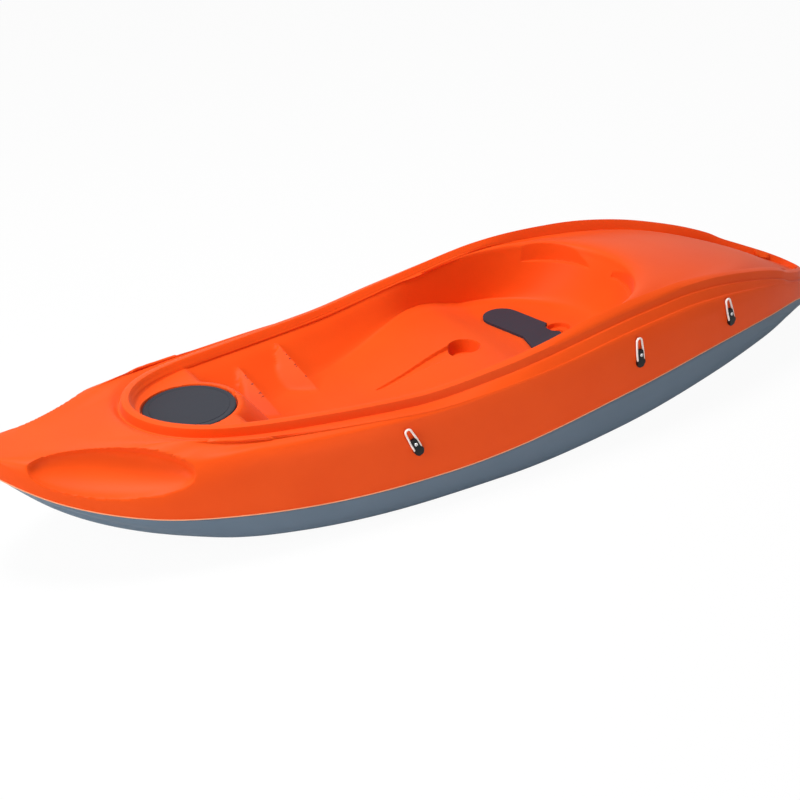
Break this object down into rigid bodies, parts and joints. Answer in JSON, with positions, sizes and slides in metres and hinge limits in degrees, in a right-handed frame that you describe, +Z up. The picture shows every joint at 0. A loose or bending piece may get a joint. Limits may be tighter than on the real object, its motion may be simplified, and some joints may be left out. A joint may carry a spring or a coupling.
{
  "type": "sit-on-top kayak",
  "caption": "Short one-seat sit-on-top kayak with an open cockpit tub, foot steps, a round bow hatch, a glued seat pad and swivelling cord loops on its sides.",
  "frame": {"origin": "middle of the flat plane that the keel ribs rest on, halfway along the length and the beam", "axes": "+X to the bow, +Y to port, +Z up"},
  "size_m": [2.68, 0.7992, 0.4012],
  "materials": {
    "deck_plastic": "satin formed polyethylene",
    "hull_plastic": "satin formed polyethylene",
    "dark_nylon": "fine grained moulded nylon",
    "black_rubber": "matte",
    "pad_foam": "fine grooved closed-cell foam",
    "float_foam": "closed-cell foam block",
    "steel": "stainless",
    "cord": "woven cord"
  },
  "bodies": {
    "kayak": {"deck_shell": "deck_plastic", "hull_shell": "hull_plastic", "hatch_frame": "dark_nylon", "hatch_gasket": "black_rubber", "seat_pad": "pad_foam", "footwell_foam": "float_foam", "seat_foam": "float_foam", "drain_bush": "dark_nylon", "hatch_screw_1": "steel", "hatch_screw_2": "steel", "hatch_screw_3": "steel", "hatch_screw_4": "steel", "hatch_screw_5": "steel", "hatch_screw_6": "steel", "port_fore_fitting_screw": "steel", "port_fore_fitting_insert": "dark_nylon", "port_middle_fitting_screw": "steel", "port_middle_fitting_insert": "dark_nylon", "port_aft_fitting_screw": "steel", "port_aft_fitting_insert": "dark_nylon", "starboard_fore_fitting_screw": "steel", "starboard_fore_fitting_insert": "dark_nylon", "starboard_middle_fitting_screw": "steel", "starboard_middle_fitting_insert": "dark_nylon", "starboard_aft_fitting_screw": "steel", "starboard_aft_fitting_insert": "dark_nylon"},
    "hatch_cover": {"hatch_lid": "dark_nylon"},
    "drain_plug": {"drain_bung": "dark_nylon", "drain_seal": "black_rubber"},
    "port_fore_swivel": {"port_fore_fitting_body": "dark_nylon", "port_fore_fitting_loop": "cord"},
    "port_middle_swivel": {"port_middle_fitting_body": "dark_nylon", "port_middle_fitting_loop": "cord"},
    "port_aft_swivel": {"port_aft_fitting_body": "dark_nylon", "port_aft_fitting_loop": "cord"},
    "starboard_fore_swivel": {"starboard_fore_fitting_body": "dark_nylon", "starboard_fore_fitting_loop": "cord"},
    "starboard_middle_swivel": {"starboard_middle_fitting_body": "dark_nylon", "starboard_middle_fitting_loop": "cord"},
    "starboard_aft_swivel": {"starboard_aft_fitting_body": "dark_nylon", "starboard_aft_fitting_loop": "cord"}
  },
  "joints": [
    {"name": "hatch_lid_lift", "type": "slide", "parent": "kayak", "child": "hatch_cover", "axis": [0, 0, 1], "range_m": [0, 0.12]},
    {"name": "drain_bung_turn", "type": "hinge", "parent": "kayak", "child": "drain_plug", "pos_m": [-1.01952, -0.23423, 0.23592], "axis": [0, -0.9973, 0.0735], "range_deg": [0, 360]},
    {"name": "port_fore_swivel_turn", "type": "hinge", "parent": "kayak", "child": "port_fore_swivel", "pos_m": [0.29003, 0.38568, 0.21905], "axis": [0.0526, 0.9956, 0.0773], "continuous": true},
    {"name": "port_middle_swivel_turn", "type": "hinge", "parent": "kayak", "child": "port_middle_swivel", "pos_m": [-0.44705, 0.37009, 0.26304], "axis": [-0.0911, 0.9937, 0.066], "continuous": true},
    {"name": "port_aft_swivel_turn", "type": "hinge", "parent": "kayak", "child": "port_aft_swivel", "pos_m": [-0.81014, 0.30479, 0.26404], "axis": [-0.2278, 0.9712, 0.0697], "continuous": true},
    {"name": "starboard_fore_swivel_turn", "type": "hinge", "parent": "kayak", "child": "starboard_fore_swivel", "pos_m": [0.29003, -0.38568, 0.21905], "axis": [0.0526, -0.9956, 0.0773], "continuous": true},
    {"name": "starboard_middle_swivel_turn", "type": "hinge", "parent": "kayak", "child": "starboard_middle_swivel", "pos_m": [-0.44705, -0.37009, 0.26304], "axis": [-0.0911, -0.9937, 0.066], "continuous": true},
    {"name": "starboard_aft_swivel_turn", "type": "hinge", "parent": "kayak", "child": "starboard_aft_swivel", "pos_m": [-0.81014, -0.30479, 0.26404], "axis": [-0.2278, -0.9712, 0.0697], "continuous": true}
  ]
}
